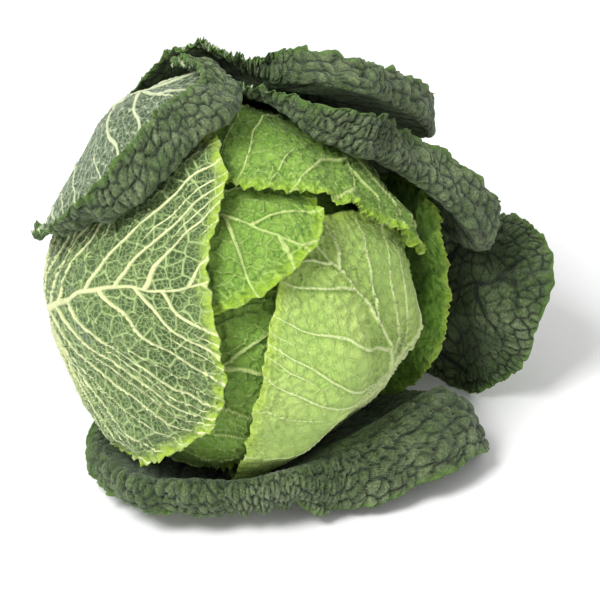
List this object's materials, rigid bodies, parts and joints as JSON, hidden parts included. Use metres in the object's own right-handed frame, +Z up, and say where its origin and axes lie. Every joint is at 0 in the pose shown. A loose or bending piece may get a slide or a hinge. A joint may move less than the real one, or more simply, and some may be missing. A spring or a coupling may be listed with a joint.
{
  "type": "savoy cabbage",
  "caption": "Round savoy cabbage lying on its side: blistered, netted leaves closed over a dense heart, with frilled outer leaves rolled back and a cut stem behind.",
  "frame": {"origin": "point on the outer front leaf's flat spot, straight below the head's centre, where the cabbage rests on the surface", "axes": "+Z up from the surface; -Y toward the crown's side, from which the open leaves are seen; +X to the right of that view; the cut stem points back, down and left"},
  "size_m": [0.2447, 0.2078, 0.1991],
  "materials": {
    "heart": "dense folded yellow-green leaf flesh, semi-matt",
    "stem": "pale fibrous stalk, freshly cut, matt",
    "head_leaf": "bright yellow-green leaf with pale veins and a soft waxy sheen",
    "middle_leaf": "mid-green leaf with a raised net of cream veins, waxy",
    "outer_leaf": "dark bluish-green blistered leaf with a thin waxy bloom"
  },
  "bodies": {
    "root": {"heart": "heart", "stem": "stem", "head_leaf_low_inner": "head_leaf", "head_leaf_low_outer": "head_leaf", "head_leaf_right": "head_leaf", "head_leaf_left": "head_leaf", "head_leaf_front": "head_leaf", "head_leaf_upper_left": "head_leaf", "head_leaf_top": "head_leaf", "frill_leaf_right": "middle_leaf", "wrapper_leaf_left": "middle_leaf", "outer_leaf_upper_right": "outer_leaf", "outer_leaf_upper_left": "outer_leaf", "outer_leaf_top": "outer_leaf", "outer_leaf_front": "outer_leaf", "outer_leaf_right": "outer_leaf"}
  },
  "joints": []
}
